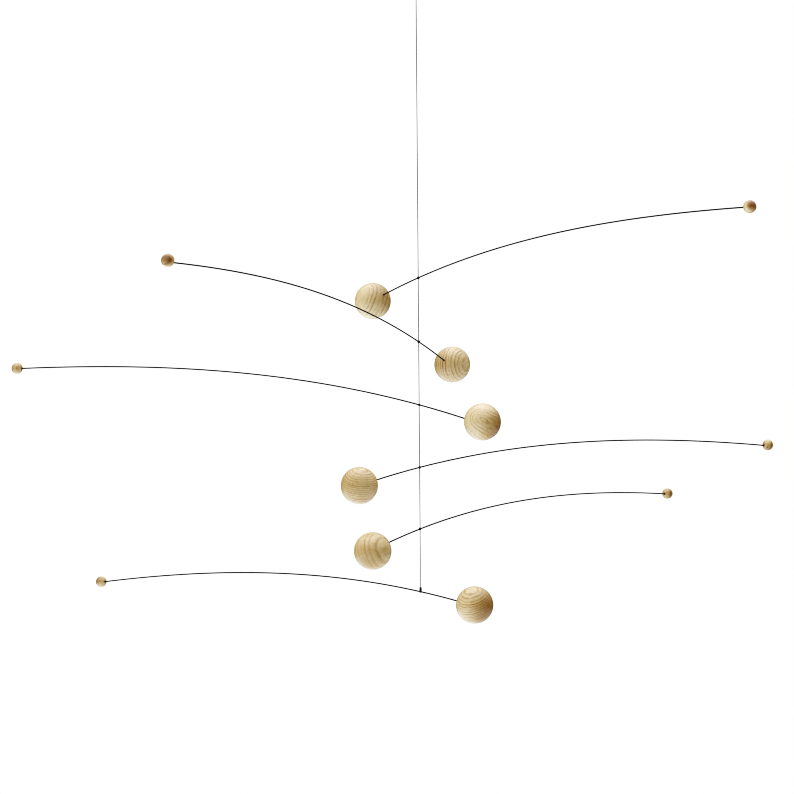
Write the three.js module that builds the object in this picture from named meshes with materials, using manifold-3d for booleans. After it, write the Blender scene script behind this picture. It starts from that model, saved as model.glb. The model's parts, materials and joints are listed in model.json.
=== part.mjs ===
import * as THREE from 'three';
import { mergeVertices } from 'three/addons/utils/BufferGeometryUtils.js';
import Module from 'manifold-3d';

// Hanging mobile: curved steel wires, each with a large and a small wooden ball, tied one below
// another to a single thread. Sizes are millimetres and grams, angles are degrees, +Z is up, +X is the
// viewer's right and +Y points away from the viewer. The origin is the inside of the crown of the
// thread's loop, where the loop bears on its hook.

const wasm = await Module();
wasm.setup();

// Balls
const BIG_BALL_DIAMETER = 30;
const SMALL_BALL_DIAMETER = 9.5;
const BIG_HOLE_DEPTH = 10;
const SMALL_HOLE_DEPTH = 3.5;

// Wires: the span runs along the wire from ball centre to ball centre. The wire bends down ever less
// from the large ball to the small one: each turn is what a whole span would make if it bent
// throughout as it does at that ball.
const WIRE_DIAMETER = 1;
const WIRE_SPAN = 429.6;
const TURN_AT_BIG_BALL = 29.94;
const TURN_AT_SMALL_BALL = 9.15;
const STEEL_GRAMS_PER_CM3 = 7.85;

// Thread, its loop and the knots
const THREAD_DIAMETER = 0.5;
const THREAD_TO_TOP_WIRE = 240;
const WIRE_SPACING = 51.4;
const LOOP_HEIGHT = 20;
const LOOP_WIDTH = 8;
const LOOP_LEG_GAP = 0.4;
const LOOP_KNOT_DIAMETER = 2;
const LOOP_KNOT_LENGTH = 3;
const WRAPS_ROUND_WIRE = 3;

// Shapes as shares: how high the valley between two turns of thread stands, how full the loop's knot
// is, and how much of the drop's own width its sides reach
const TURN_VALLEY = 0.7;
const KNOT_FULLNESS = 0.6;
const DROP_SIDE_REACH = 0.77;

// Sleeve that ends the thread on the lowest wire
const SLEEVE_DIAMETER = 2.2;
const SLEEVE_ABOVE_WIRE = 3.7;
const SLEEVE_BELOW_WIRE = 1.2;
const SLEEVE_THREAD_DEPTH = 2;

// Clearances
const DRILLING_CLEARANCE = 0.15;
const WRAP_CLEARANCE = 0.12;
const THREAD_END_GAP = 0.3;

// The wires from the top down. slip: how far it is tied below its even place under the wire above.
// facing: where the small ball points, turned from +X towards +Y. rise: slope of the wire where it is
// tied. bend: this wire's own share of the common bend. wood: weight of its balls in grams per cubic
// centimetre, which sets where it balances. bigLift and smallLift: how far a ball's centre stands
// above its wire's line, because its hole was drilled off centre.
const ARMS = [
  { slip: 0, facing: -49.8, rise: 12.8, bend: 0.947, wood: 0.613, bigLift: -0.2, smallLift: 0.1 },
  { slip: 1.1, facing: 240.7, rise: 15.7, bend: 1.052, wood: 0.617, bigLift: 2.1, smallLift: 1.2 },
  { slip: 0.3, facing: 159.6, rise: 15.4, bend: 1.031, wood: 0.684, bigLift: 2, smallLift: 0.2 },
  { slip: -0.2, facing: 32.3, rise: 12.3, bend: 1.025, wood: 0.623, bigLift: 0.1, smallLift: 0.7 },
  { slip: -1.1, facing: 50.9, rise: 13.1, bend: 0.982, wood: 0.571, bigLift: -0.4, smallLift: 0.4 },
  { slip: -0.2, facing: 140.3, rise: 9.1, bend: 0.941, wood: 0.667, bigLift: 0.9, smallLift: 0.3 },
];

// Fineness of the faces
const BIG_BALL_SECTORS = 24;
const BIG_BALL_RINGS = 16;
const SMALL_BALL_SECTORS = 12;
const SMALL_BALL_RINGS = 8;
const WIRE_SIDES = 8;
const WIRE_STEPS = 22;
const THREAD_SIDES = 8;
const LOOP_STEPS = 22;
const WRAP_SIDES = 10;
const KNOT_PROFILE_STEPS = 6;
const SLEEVE_SIDES = 16;
const BALANCE_HALVINGS = 50;
const SHAPE_STEPS = 120;

const rad = THREE.MathUtils.degToRad;
const MM3_PER_CM3 = 1000;

const beech = new THREE.MeshStandardMaterial({ color: 0xd3b88f, roughness: 0.55, metalness: 0 });
const blackWire = new THREE.MeshStandardMaterial({ color: 0x17171a, roughness: 0.35, metalness: 0.6 });
const greyThread = new THREE.MeshStandardMaterial({ color: 0x6f6f70, roughness: 0.9, metalness: 0 });
const blackSleeve = new THREE.MeshStandardMaterial({ color: 0x141414, roughness: 0.6, metalness: 0 });

// The curve of one arm's wire, in the plane of the thread and the wire. It starts at the large ball's
// place on the wire and is moved so that the tie is at the origin.
class ArmCurve extends THREE.Curve {
  constructor(arm, tie, from, to) {
    super();
    this.arm = arm;
    this.tie = tie;
    this.from = from;
    this.to = to;
    this.startSlope = rad(arm.rise) + this.turnTo(tie);
    this.tiePoint = new THREE.Vector3();
    this.tiePoint = this.place(tie);
  }

  // Angle that the wire has turned down by, from the large ball to a length along it
  turnTo(along) {
    const share = along / WIRE_SPAN;
    const easing = (TURN_AT_SMALL_BALL - TURN_AT_BIG_BALL) / 2;
    return rad(this.arm.bend * (TURN_AT_BIG_BALL * share + easing * share * share));
  }

  slope(along) {
    return this.startSlope - this.turnTo(along);
  }

  place(along) {
    const step = along / SHAPE_STEPS;
    const point = new THREE.Vector3();
    for (let i = 0; i < SHAPE_STEPS; i++) {
      const slope = this.slope((i + 0.5) * step);
      point.x += Math.cos(slope) * step;
      point.z += Math.sin(slope) * step;
    }
    return point.sub(this.tiePoint);
  }

  // A point moved square to the wire, upwards
  liftedPlace(along, lift) {
    const slope = this.slope(along);
    return this.place(along).add(new THREE.Vector3(-Math.sin(slope) * lift, 0, Math.cos(slope) * lift));
  }

  getPoint(t) {
    return this.place(THREE.MathUtils.lerp(this.from, this.to, t));
  }
}

const ballGrams = (diameter, density) => ((Math.PI / 6) * diameter ** 3 * density) / MM3_PER_CM3;

// How far the arm's weight would pull it round its tie, in gram millimetres, large ball positive
function imbalance(arm, tie) {
  const curve = new ArmCurve(arm, tie, 0, WIRE_SPAN);
  const big = curve.liftedPlace(0, arm.bigLift).x * ballGrams(BIG_BALL_DIAMETER, arm.wood);
  const small = curve.liftedPlace(WIRE_SPAN, arm.smallLift).x * ballGrams(SMALL_BALL_DIAMETER, arm.wood);
  const gramsPerMm = ((Math.PI / 4) * WIRE_DIAMETER ** 2 * STEEL_GRAMS_PER_CM3) / MM3_PER_CM3;
  const step = WIRE_SPAN / WIRE_STEPS;
  let wire = 0;
  for (let i = 0; i < WIRE_STEPS; i++) {
    wire += curve.place((i + 0.5) * step).x * step * gramsPerMm;
  }
  return -(big + small + wire);
}

// Length along the wire from the large ball's centre to the place where the arm balances
function balancePoint(arm) {
  let near = 0;
  let far = WIRE_SPAN;
  for (let i = 0; i < BALANCE_HALVINGS; i++) {
    const middle = (near + far) / 2;
    if (imbalance(arm, middle) < 0) near = middle;
    else far = middle;
  }
  return (near + far) / 2;
}

function polygon(radius, sides) {
  const shape = new THREE.Shape();
  for (let i = 0; i < sides; i++) {
    const angle = ((i + 0.5) * 2 * Math.PI) / sides;
    if (i === 0) shape.moveTo(radius * Math.cos(angle), radius * Math.sin(angle));
    else shape.lineTo(radius * Math.cos(angle), radius * Math.sin(angle));
  }
  shape.closePath();
  return shape;
}

function tube(path, diameter, sides, steps) {
  return new THREE.ExtrudeGeometry(polygon(diameter / 2, sides), { extrudePath: path, steps });
}

function toSolid(geometry) {
  const bare = geometry.clone();
  bare.deleteAttribute('normal');
  bare.deleteAttribute('uv');
  const merged = mergeVertices(bare, 1e-4);
  const mesh = new wasm.Mesh({
    numProp: 3,
    vertProperties: new Float32Array(merged.attributes.position.array),
    triVerts: new Uint32Array(merged.index.array),
  });
  return new wasm.Manifold(mesh);
}

function toGeometry(solid) {
  const { vertProperties, triVerts } = solid.getMesh();
  const geometry = new THREE.BufferGeometry();
  geometry.setAttribute('position', new THREE.BufferAttribute(new Float32Array(vertProperties), 3));
  geometry.setIndex(new THREE.BufferAttribute(new Uint32Array(triVerts), 1));
  return geometry;
}

function named(name, geometry, material) {
  const mesh = new THREE.Mesh(geometry, material);
  mesh.name = name;
  return mesh;
}

// A ball with a blind hole that the wire's end sits in. The drill is given in the ball's own place.
function drilledBall(diameter, sectors, rings, drill) {
  const ball = toSolid(new THREE.SphereGeometry(diameter / 2, sectors, rings));
  return toGeometry(ball.subtract(toSolid(drill)));
}

// A ball on one end of a wire: its centre, and the hole's run along the wire's own curve
function placedBall(name, curve, options) {
  const { diameter, along, lift, sectors, rings, drillFrom, drillTo } = options;
  const centre = curve.liftedPlace(along, lift);
  const bore = new ArmCurve(curve.arm, curve.tie, drillFrom, drillTo);
  const drill = tube(bore, WIRE_DIAMETER + 2 * DRILLING_CLEARANCE, WIRE_SIDES, 2);
  drill.translate(-centre.x, -centre.y, -centre.z);
  const ball = named(name, drilledBall(diameter, sectors, rings, drill), beech);
  ball.position.copy(centre);
  return ball;
}

// Thread wound side by side round the wire: a ring whose outside shows the turns
function wrapKnot(name, slope) {
  const inner = WIRE_DIAMETER / 2 + WRAP_CLEARANCE;
  const valley = inner + TURN_VALLEY * THREAD_DIAMETER;
  const half = (WRAPS_ROUND_WIRE * THREAD_DIAMETER) / 2;
  const profile = [new THREE.Vector2(inner, -half)];
  for (let turn = 0; turn < WRAPS_ROUND_WIRE; turn++) {
    const middle = -half + (turn + 0.5) * THREAD_DIAMETER;
    profile.push(new THREE.Vector2(valley, middle - THREAD_DIAMETER / 2));
    profile.push(new THREE.Vector2(inner + THREAD_DIAMETER, middle));
  }
  profile.push(new THREE.Vector2(valley, half), new THREE.Vector2(inner, half));
  profile.push(profile[0].clone());
  const knot = named(name, new THREE.LatheGeometry(profile, WRAP_SIDES), greyThread);
  knot.rotation.set(0, -slope, -Math.PI / 2);
  return knot;
}

// A short upright sleeve, drilled across for the wire and down from its top for the thread's end
function endSleeve(name, slope) {
  const height = SLEEVE_ABOVE_WIRE + SLEEVE_BELOW_WIRE;
  const body = new THREE.CylinderGeometry(SLEEVE_DIAMETER / 2, SLEEVE_DIAMETER / 2, height, SLEEVE_SIDES);
  body.rotateX(Math.PI / 2);
  body.translate(0, 0, (SLEEVE_ABOVE_WIRE - SLEEVE_BELOW_WIRE) / 2);
  const wireRadius = WIRE_DIAMETER / 2 + DRILLING_CLEARANCE;
  const cross = new THREE.CylinderGeometry(wireRadius, wireRadius, 2 * SLEEVE_DIAMETER, SLEEVE_SIDES);
  cross.rotateZ(Math.PI / 2);
  cross.rotateY(-slope);
  const threadRadius = THREAD_DIAMETER / 2 + DRILLING_CLEARANCE;
  const bore = new THREE.CylinderGeometry(threadRadius, threadRadius, 2 * SLEEVE_THREAD_DEPTH, SLEEVE_SIDES);
  bore.rotateX(Math.PI / 2);
  bore.translate(0, 0, SLEEVE_ABOVE_WIRE);
  const solid = toSolid(body).subtract(toSolid(cross)).subtract(toSolid(bore));
  return named(name, toGeometry(solid), blackSleeve);
}

function straightThread(name, top, bottom) {
  const line = new THREE.LineCurve3(new THREE.Vector3(0, 0, top), new THREE.Vector3(0, 0, bottom));
  return named(name, tube(line, THREAD_DIAMETER, THREAD_SIDES, 1), greyThread);
}

// The loop's centreline: a drop shape that runs up one leg, round the crown and down the other leg
class LoopCurve extends THREE.Curve {
  constructor(foot, crown) {
    super();
    this.foot = foot;
    this.crown = crown;
    // The legs start where they clear each other
    this.width = (LOOP_WIDTH - THREAD_DIAMETER) / (2 * DROP_SIDE_REACH);
    this.start = Math.sqrt((THREAD_DIAMETER + LOOP_LEG_GAP) / this.width);
  }

  getPoint(t) {
    const angle = THREE.MathUtils.lerp(this.start, 2 * Math.PI - this.start, t);
    const rise = (Math.cos(this.start) - Math.cos(angle)) / (Math.cos(this.start) + 1);
    return new THREE.Vector3(
      this.width * Math.sin(angle) * Math.sin(angle / 2),
      0,
      THREE.MathUtils.lerp(this.foot, this.crown, rise),
    );
  }
}

function loopKnot(name, middle) {
  const profile = [];
  for (let i = 0; i <= KNOT_PROFILE_STEPS; i++) {
    const angle = (i * Math.PI) / KNOT_PROFILE_STEPS;
    profile.push(
      new THREE.Vector2(
        i % KNOT_PROFILE_STEPS === 0 ? 0 : (LOOP_KNOT_DIAMETER / 2) * Math.sin(angle) ** KNOT_FULLNESS,
        (-LOOP_KNOT_LENGTH / 2) * Math.cos(angle),
      ),
    );
  }
  const knot = named(name, new THREE.LatheGeometry(profile, WRAP_SIDES), greyThread);
  knot.rotation.set(Math.PI / 2, 0, 0);
  knot.position.set(0, 0, middle);
  return knot;
}

// One arm, built round its tie with the small ball towards +X
function buildArm(number, arm, isLowest) {
  const tie = balancePoint(arm);
  const wireStart = BIG_BALL_DIAMETER / 2 - BIG_HOLE_DEPTH;
  const wireEnd = WIRE_SPAN - (SMALL_BALL_DIAMETER / 2 - SMALL_HOLE_DEPTH);
  const curve = new ArmCurve(arm, tie, wireStart, wireEnd);
  const group = new THREE.Group();
  group.add(
    named(`arm_${number}_wire`, tube(curve, WIRE_DIAMETER, WIRE_SIDES, WIRE_STEPS), blackWire),
    placedBall(`arm_${number}_big_ball`, curve, {
      diameter: BIG_BALL_DIAMETER,
      along: 0,
      lift: arm.bigLift,
      sectors: BIG_BALL_SECTORS,
      rings: BIG_BALL_RINGS,
      drillFrom: wireStart - DRILLING_CLEARANCE,
      drillTo: BIG_BALL_DIAMETER,
    }),
    placedBall(`arm_${number}_small_ball`, curve, {
      diameter: SMALL_BALL_DIAMETER,
      along: WIRE_SPAN,
      lift: arm.smallLift,
      sectors: SMALL_BALL_SECTORS,
      rings: SMALL_BALL_RINGS,
      drillFrom: wireEnd + DRILLING_CLEARANCE,
      drillTo: WIRE_SPAN - SMALL_BALL_DIAMETER,
    }),
    isLowest ? endSleeve('thread_end_sleeve', rad(arm.rise)) : wrapKnot(`arm_${number}_knot`, rad(arm.rise)),
  );
  return group;
}

// The thread's stretches run from the loop's knot to the top wire, then from wire to wire
function buildMobile() {
  const mobile = new THREE.Group();
  const loopFoot = -LOOP_HEIGHT;
  const knotMiddle = loopFoot - THREAD_END_GAP - LOOP_KNOT_LENGTH / 2;
  const knotFoot = knotMiddle - LOOP_KNOT_LENGTH / 2;
  const loop = tube(new LoopCurve(loopFoot, THREAD_DIAMETER / 2), THREAD_DIAMETER, THREAD_SIDES, LOOP_STEPS);
  mobile.add(named('hanging_loop', loop, greyThread), loopKnot('loop_knot', knotMiddle));

  const wrapReach = WIRE_DIAMETER / 2 + WRAP_CLEARANCE + THREAD_DIAMETER + THREAD_END_GAP;
  let height = knotFoot - THREAD_TO_TOP_WIRE;
  let threadTop = knotFoot - THREAD_END_GAP;
  ARMS.forEach((arm, index) => {
    height -= index === 0 ? 0 : WIRE_SPACING + arm.slip;
    const isLowest = index === ARMS.length - 1;
    const threadBottom = isLowest
      ? height + SLEEVE_ABOVE_WIRE - SLEEVE_THREAD_DEPTH + THREAD_END_GAP
      : height + wrapReach / Math.cos(rad(arm.rise));
    mobile.add(straightThread(`thread_${index + 1}`, threadTop, threadBottom));
    const armGroup = buildArm(index + 1, arm, isLowest);
    armGroup.position.set(0, 0, height);
    armGroup.rotation.set(0, 0, rad(arm.facing));
    mobile.add(armGroup);
    threadTop = height - wrapReach / Math.cos(rad(arm.rise));
  });
  return mobile;
}

export default buildMobile();
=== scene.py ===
"""Hanging mobile: curved spring wires with turned wooden balls, tied one below another to a thread.

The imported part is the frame: each piece here stands for one of its nodes and takes its place from it.
Lengths are millimetres while a piece is being made, and metres once it is finished.
"""

from __future__ import annotations

import json
import logging
import math
from dataclasses import dataclass, field
from enum import Enum
from typing import Any, Sequence

import bmesh
import bpy
from bmesh.types import BMEdge, BMesh, BMVert
from mathutils import Matrix, Vector

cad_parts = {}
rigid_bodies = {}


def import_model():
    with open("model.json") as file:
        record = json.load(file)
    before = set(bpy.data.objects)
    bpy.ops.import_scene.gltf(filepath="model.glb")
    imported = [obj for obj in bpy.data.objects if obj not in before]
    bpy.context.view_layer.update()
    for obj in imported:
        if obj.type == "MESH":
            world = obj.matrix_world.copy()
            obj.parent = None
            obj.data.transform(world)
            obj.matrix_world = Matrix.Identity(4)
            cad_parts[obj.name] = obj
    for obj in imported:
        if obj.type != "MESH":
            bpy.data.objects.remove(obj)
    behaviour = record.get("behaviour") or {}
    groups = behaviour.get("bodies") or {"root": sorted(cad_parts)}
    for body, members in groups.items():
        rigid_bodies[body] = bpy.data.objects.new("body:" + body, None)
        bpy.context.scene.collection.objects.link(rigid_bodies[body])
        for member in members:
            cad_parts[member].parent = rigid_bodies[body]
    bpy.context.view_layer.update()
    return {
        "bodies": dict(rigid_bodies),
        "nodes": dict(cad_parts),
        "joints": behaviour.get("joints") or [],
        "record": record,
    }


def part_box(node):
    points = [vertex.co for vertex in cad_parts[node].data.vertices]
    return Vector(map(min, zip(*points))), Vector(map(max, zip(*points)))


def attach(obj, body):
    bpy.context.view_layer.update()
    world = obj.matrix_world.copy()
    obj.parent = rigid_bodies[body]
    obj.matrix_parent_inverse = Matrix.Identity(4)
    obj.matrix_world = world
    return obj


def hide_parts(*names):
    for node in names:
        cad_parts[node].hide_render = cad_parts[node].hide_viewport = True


log = logging.getLogger("mobile")

MM = 0.001
UP = Vector((0.0, 0.0, 1.0))
AWAY = Vector((0.0, 1.0, 0.0))

# Sizes that the frame has too, in millimetres
BIG_BALL_RADIUS = 15.0
SMALL_BALL_RADIUS = 4.75
BIG_HOLE_DEPTH = 10.0
SMALL_HOLE_DEPTH = 3.5
WIRE_RADIUS = 0.5
THREAD_RADIUS = 0.25
DRILLING_CLEARANCE = 0.15
LOOP_HEIGHT = 20.0
LOOP_WIDTH = 8.0
LOOP_KNOT_LENGTH = 3.0
SLEEVE_ABOVE_WIRE = 3.7
SLEEVE_BORE_DEPTH = 2.0
THREAD_END_GAP = 0.3

# The frame parts the straight run into this many stretches
THREAD_STRETCHES = 6

# The thread's plies turn once in each lay, and its section is drawn with this many sides
PLIES = 3
LAY = 1.5
THREAD_SIDES = 12

# Shares of the thread's radius: the crest of each ply stands out past a plain round, and the valleys
# between the plies lie inside it
PLY_CREST = 1.2
PLY_VALLEY = 0.88
PLY_ROUNDNESS = 0.8

# Edges that turn by more than the crease stay crisp, and on thread only the sharpest do
CREASE = math.radians(35)
THREAD_CREASE = math.radians(80)

# Points closer than this are one, in millimetres
JOIN_DISTANCE = 1e-3

# Each ball's wood starts from its own seed
SEED_STEP = 7.3
SMALL_BALL_SEED = 50.0
PATCH_SEED = 3.0

# Most of a noise's values lie in the first range, and nearly all of them in the second
NOISE_CORE = (0.35, 0.65)
NOISE_REACH = (0.3, 0.7)

# A Mix node's colours and their result go by number, because its other sockets share their names
COLOUR_A = 6
COLOUR_B = 7
MIXED_COLOUR = 2

# The picture's contrast is drawn through this many steps of the curve that all channels share
CURVE_STEPS = 20
SHARED_CURVE = 3

Triple = tuple[float, float, float]


def to_linear(level: float) -> float:
    """Turns an sRGB level from nought to one to the linear level."""
    return level / 12.92 if level <= 0.04045 else ((level + 0.055) / 1.055) ** 2.4


def linear(hex_code: str) -> tuple[float, float, float, float]:
    """Turns an sRGB hex colour to the linear colour that a shader wants.

    Args:
        hex_code: six hex digits, red first.

    Returns:
        Linear red, green, blue and an alpha of one.
    """
    red, green, blue = (to_linear(int(hex_code[i : i + 2], 16) / 255) for i in (0, 2, 4))
    return red, green, blue, 1.0


def add_node(
    tree: bpy.types.NodeTree,
    kind: str,
    settings: dict[str, Any] | None = None,
    inputs: dict[str | int, Any] | None = None,
) -> bpy.types.Node:
    """Adds a node, sets its properties and fills or links its inputs.

    Args:
        tree: the node tree that gets the node.
        kind: the node's type, such as ShaderNodeMath.
        settings: properties of the node itself.
        inputs: a value, or another node's output to link, for each named or numbered input.

    Returns:
        The new node.
    """
    node = tree.nodes.new(kind)
    for name, value in (settings or {}).items():
        setattr(node, name, value)
    for name, value in (inputs or {}).items():
        if isinstance(value, bpy.types.NodeSocket):
            tree.links.new(value, node.inputs[name])
        else:
            node.inputs[name].default_value = value
    return node


def set_ramp(node: bpy.types.Node, stops: Sequence[tuple[float, float | str]]) -> None:
    """Gives a colour ramp its stops.

    Args:
        node: the ramp.
        stops: position of each stop, in order, with its grey level or its sRGB hex colour.
    """
    elements = node.color_ramp.elements
    while len(elements) > 1:
        elements.remove(elements[-1])
    for i, (position, tone) in enumerate(stops):
        element = elements.new(position) if i else elements[0]
        element.position = position
        element.color = linear(tone) if isinstance(tone, str) else (tone, tone, tone, 1.0)


def new_material(name: str) -> tuple[bpy.types.Material, bpy.types.NodeTree, bpy.types.Node]:
    """Makes a bare material.

    Args:
        name: what the finish is.

    Returns:
        The material, its node tree and its Principled shader, already linked to the output.
    """
    material = bpy.data.materials.new(name)
    material.use_nodes = True
    tree = material.node_tree
    tree.nodes.clear()
    shader = add_node(tree, "ShaderNodeBsdfPrincipled")
    add_node(tree, "ShaderNodeOutputMaterial", inputs={"Surface": shader.outputs["BSDF"]})
    return material, tree, shader


def set_surface(
    tree: bpy.types.NodeTree,
    shader: bpy.types.Node,
    dullness: bpy.types.NodeSocket,
    roughness: tuple[float, float],
    relief: bpy.types.NodeSocket,
    depth: float,
    strength: float,
) -> None:
    """Lets one pattern vary a finish's roughness, and one give it relief.

    Args:
        tree: the material's nodes.
        shader: its shader.
        dullness: the pattern that makes it rougher, from nought to one.
        roughness: the roughness at nought and at one.
        relief: the pattern that raises it.
        depth: how far the relief stands out, in millimetres.
        strength: how much of that shows.
    """
    gloss = add_node(
        tree,
        "ShaderNodeMapRange",
        inputs={"Value": dullness, "To Min": roughness[0], "To Max": roughness[1]},
    )
    tree.links.new(gloss.outputs["Result"], shader.inputs["Roughness"])
    bump = add_node(
        tree,
        "ShaderNodeBump",
        inputs={"Strength": strength, "Distance": depth * MM, "Height": relief},
    )
    tree.links.new(bump.outputs["Normal"], shader.inputs["Normal"])


def finish_piece(
    bm: BMesh,
    name: str,
    material: bpy.types.Material,
    body: str,
    stands_for: Sequence[str] = (),
    crease: float = CREASE,
) -> bpy.types.Object:
    """Turns a finished bmesh in millimetres into a piece of the mobile in metres.

    Args:
        bm: the mesh, which is freed.
        name: the piece's name.
        material: its finish.
        body: the body of the frame that it moves with.
        stands_for: the nodes of the frame that it replaces.
        crease: edges that turn by more than this stay crisp.

    Returns:
        The object, at the origin, with its place in its mesh.
    """
    bmesh.ops.scale(bm, vec=(MM, MM, MM), verts=bm.verts)
    mesh = bpy.data.meshes.new(name)
    bm.to_mesh(mesh)
    bm.free()
    mesh.shade_smooth()
    mesh.set_sharp_from_angle(angle=crease)
    mesh.materials.append(material)
    piece = bpy.data.objects.new(name, mesh)
    bpy.context.scene.collection.objects.link(piece)
    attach(piece, body)
    if stands_for:
        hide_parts(*stands_for)
    log.info("%s: %d faces on %s", name, len(mesh.polygons), body)
    return piece


def vertex_chain(bm: BMesh, points: Sequence[Vector]) -> list[BMVert]:
    """Draws a line of edges by extruding one vertex from point to point.

    Args:
        bm: the mesh that gets the line.
        points: the points that it passes through.

    Returns:
        The line's vertices in order.
    """
    chain = list(bmesh.ops.create_vert(bm, co=points[0])["vert"])
    for here, there in zip(points, points[1:]):
        made = bmesh.ops.extrude_vert_indiv(bm, verts=[chain[-1]])
        bmesh.ops.translate(bm, vec=there - here, verts=made["verts"])
        chain.append(made["verts"][0])
    return chain


def lathe(bm: BMesh, profile: Sequence[tuple[float, float]], sectors: int) -> None:
    """Turns a profile about the Z axis into a closed or open skin.

    Args:
        bm: the empty mesh that gets the skin.
        profile: distance from the axis and height of each point, in millimetres.
        sectors: how many steps the full turn has.
    """
    chain = vertex_chain(bm, [Vector((radius, 0.0, height)) for radius, height in profile])
    edges = list({edge for vert in chain for edge in vert.link_edges})
    bmesh.ops.spin(
        bm,
        geom=chain + edges,
        cent=(0, 0, 0),
        axis=UP,
        angle=2 * math.pi,
        steps=sectors,
        use_merge=True,
    )
    bmesh.ops.remove_doubles(bm, verts=bm.verts, dist=JOIN_DISTANCE)
    bmesh.ops.recalc_face_normals(bm, faces=bm.faces)


def section_ring(
    bm: BMesh, centre: Vector, heading: Vector, radius: float, sides: int, plies: int = 0
) -> list[BMEdge]:
    """Adds the cross-section that a wire or thread is drawn from, square to its run.

    Args:
        bm: the mesh that gets the ring.
        centre: the ring's middle.
        heading: the run's direction there.
        radius: the outer radius.
        sides: how many edges the ring has.
        plies: how many strands are twisted together, or none for a plain round.

    Returns:
        The ring's edges.
    """
    place = Matrix.Translation(centre) @ UP.rotation_difference(heading).to_matrix().to_4x4()
    verts = bmesh.ops.create_circle(bm, cap_ends=False, radius=radius, segments=sides, matrix=place)["verts"]
    if plies:
        for i, vert in enumerate(verts):
            swell = abs(math.cos(plies * math.pi * i / sides))
            share = PLY_VALLEY + (PLY_CREST - PLY_VALLEY) * swell**PLY_ROUNDNESS
            vert.co = centre + (vert.co - centre) * share
    return list({edge for vert in verts for edge in vert.link_edges})


def sweep(bm: BMesh, ring: list[BMEdge], path: Sequence[Vector], twist: float = 0.0) -> None:
    """Draws a ring along a path, kept square to it.

    Args:
        bm: the mesh that holds the ring.
        ring: the edges of the ring, which stands on the path's first point.
        path: the points of the run.
        twist: how far the section turns about the run, in radians per millimetre.
    """
    headings = [(there - here).normalized() for here, there in zip(path, path[1:])]
    tangents = [headings[0]]
    tangents += [(before + after).normalized() for before, after in zip(headings, headings[1:])]
    tangents.append(headings[-1])
    for i in range(1, len(path)):
        made = bmesh.ops.extrude_edge_only(bm, edges=ring)["geom"]
        verts = [item for item in made if isinstance(item, BMVert)]
        ring = [item for item in made if isinstance(item, BMEdge)]
        step = path[i] - path[i - 1]
        turn = tangents[i - 1].rotation_difference(tangents[i]).to_matrix()
        lay = Matrix.Rotation(twist * step.length, 3, tangents[i])
        bmesh.ops.rotate(bm, cent=path[i - 1], matrix=lay @ turn, verts=verts)
        bmesh.ops.translate(bm, vec=step, verts=verts)


def close_ends(bm: BMesh) -> None:
    """Caps the open ends of a run and turns every face outwards."""
    bmesh.ops.holes_fill(bm, edges=[edge for edge in bm.edges if edge.is_boundary])
    bmesh.ops.recalc_face_normals(bm, faces=bm.faces)


def smooth_path(points: Sequence[Vector], parts: int) -> list[Vector]:
    """Rounds a run of points with a Catmull-Rom curve.

    Args:
        points: the points that the curve passes through.
        parts: how many steps it takes between two of them.

    Returns:
        The finer run.
    """
    ends = [2 * points[0] - points[1], *points, 2 * points[-1] - points[-2]]
    path = []
    for before, start, end, after in zip(ends, ends[1:], ends[2:], ends[3:]):
        slope = end - before
        sag = 2 * before - 5 * start + 4 * end - after
        twist = 3 * start - before - 3 * end + after
        for i in range(parts):
            t = i / parts
            path.append(0.5 * (2 * start + slope * t + sag * t * t + twist * t * t * t))
    path.append(points[-1].copy())
    return path


@dataclass(frozen=True)
class Cut:
    """How a ball was cut from its board.

    Directions are right, away and up, and lengths millimetres. The stem runs past the pith's place,
    given from the ball's centre, and its bend moves the pith by so much for each square millimetre
    along it. The shift moves the rings by a share of their width, and the strength says how much the
    summer wood shows. The side is where the ball is darker, partly as older wood and partly as painted
    shade, and the darkness says how dark it is. All of the ball is darkened by its tan.
    """

    stem: Triple
    pith: Triple
    bend: Triple
    ring_width: float
    shift: float
    strength: float
    # The side's darkening is partly older wood and partly painted shade
    side: Triple
    darkness: float
    tan: float


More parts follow.
